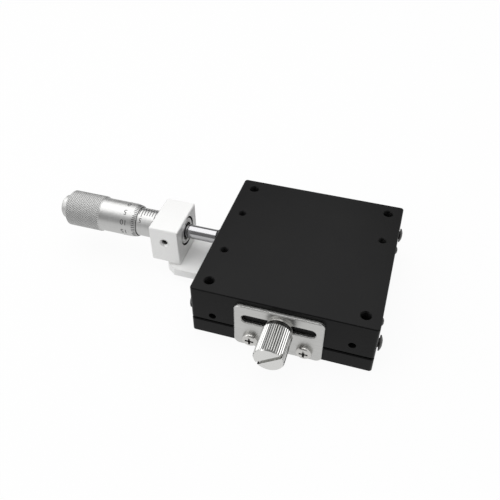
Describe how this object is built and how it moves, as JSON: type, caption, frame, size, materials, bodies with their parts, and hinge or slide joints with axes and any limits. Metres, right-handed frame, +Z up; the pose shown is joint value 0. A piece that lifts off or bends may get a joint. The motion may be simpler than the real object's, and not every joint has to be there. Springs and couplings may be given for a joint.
{
  "type": "linear translation stage",
  "caption": "Square crossed-roller linear stage, its table pushed at the centre of one end by a micrometer head, with a knurled lock screw in a slotted side plate.",
  "frame": {"origin": "middle of the base's underside, under the middle of the table at mid travel", "axes": "+X along the travel, away from the micrometer head; -Y the side with the lock screw; +Z up, out of the table"},
  "size_m": [0.1225, 0.0743, 0.022],
  "materials": {
    "black_anodised": "satin black anodised aluminium",
    "stainless_plate": "brushed stainless steel",
    "nickel_screws": "nickel-plated steel",
    "bright_nickel": "bright nickel-plated brass",
    "black_screws": "black oxide steel",
    "hardened_steel": "dark hardened steel",
    "polished_steel": "ground and polished steel",
    "satin_chrome": "satin chrome plated steel",
    "clear_anodised": "clear anodised aluminium",
    "ground_steel": "ground hardened steel",
    "brass_cage": "rolled brass strip",
    "spring_steel": "drawn spring wire"
  },
  "bodies": {
    "base": {"base_plate": "black_anodised", "lock_plate": "stainless_plate", "lock_plate_screws": "nickel_screws", "micrometer_stem": "satin_chrome", "micrometer_sleeve": "satin_chrome", "micrometer_block": "clear_anodised", "block_clamp_screw": "black_screws", "micrometer_bracket": "clear_anodised", "bracket_screws": "black_screws", "block_screws": "black_screws", "base_spring_posts": "polished_steel", "inner_rail_back": "ground_steel", "inner_rail_front": "ground_steel", "inner_rail_screws_back": "black_screws", "inner_rail_screws_front": "black_screws", "inner_rail_stops_back": "black_screws", "inner_rail_stops_front": "black_screws", "return_spring_back": "spring_steel", "return_spring_front": "spring_steel"},
    "table": {"table": "black_anodised", "preload_screws": "black_screws", "table_end_screws": "black_screws", "anvil": "hardened_steel", "table_spring_posts": "polished_steel", "outer_rail_back": "ground_steel", "outer_rail_front": "ground_steel", "outer_rail_screws_back": "black_screws", "outer_rail_screws_front": "black_screws", "outer_rail_stops_back": "black_screws", "outer_rail_stops_front": "black_screws"},
    "micrometer_screw": {"micrometer_spindle": "polished_steel", "micrometer_thimble": "satin_chrome", "thimble_cap": "satin_chrome"},
    "lock_washer": {"lock_washer": "nickel_screws"},
    "lock_screw": {"lock_screw": "bright_nickel"},
    "cage_back": {"roller_cage_back": "brass_cage", "rollers_back": "ground_steel"},
    "cage_front": {"roller_cage_front": "brass_cage", "rollers_front": "ground_steel"}
  },
  "joints": [
    {"name": "table_slide", "type": "slide", "parent": "base", "child": "table", "axis": [1, 0, 0], "range_m": [-0.0065, 0.0065], "deforming": ["return_spring_back", "return_spring_front"]},
    {"name": "micrometer_turn", "type": "hinge", "parent": "table", "child": "micrometer_screw", "pos_m": [0, 0, 0.0155], "axis": [1, 0, 0], "range_deg": [-4680, 4680]},
    {"name": "cage_back_slide", "type": "slide", "parent": "base", "child": "cage_back", "axis": [1, 0, 0], "range_m": [-0.00325, 0.00325]},
    {"name": "cage_front_slide", "type": "slide", "parent": "base", "child": "cage_front", "axis": [1, 0, 0], "range_m": [-0.00325, 0.00325]},
    {"name": "lock_advance", "type": "slide", "parent": "table", "child": "lock_washer", "axis": [0, -1, 0], "range_m": [0, 0.001]},
    {"name": "lock_turn", "type": "hinge", "parent": "lock_washer", "child": "lock_screw", "pos_m": [0, -0.032, 0.0127], "axis": [0, -1, 0], "range_deg": [0, 720]}
  ],
  "couplings": [
    {"joint": "micrometer_turn", "follows": "table_slide", "rad_per_m": 12566},
    {"joint": "cage_back_slide", "follows": "table_slide", "ratio": 0.5},
    {"joint": "cage_front_slide", "follows": "table_slide", "ratio": 0.5},
    {"joint": "lock_turn", "follows": "lock_advance", "rad_per_m": 12566}
  ]
}
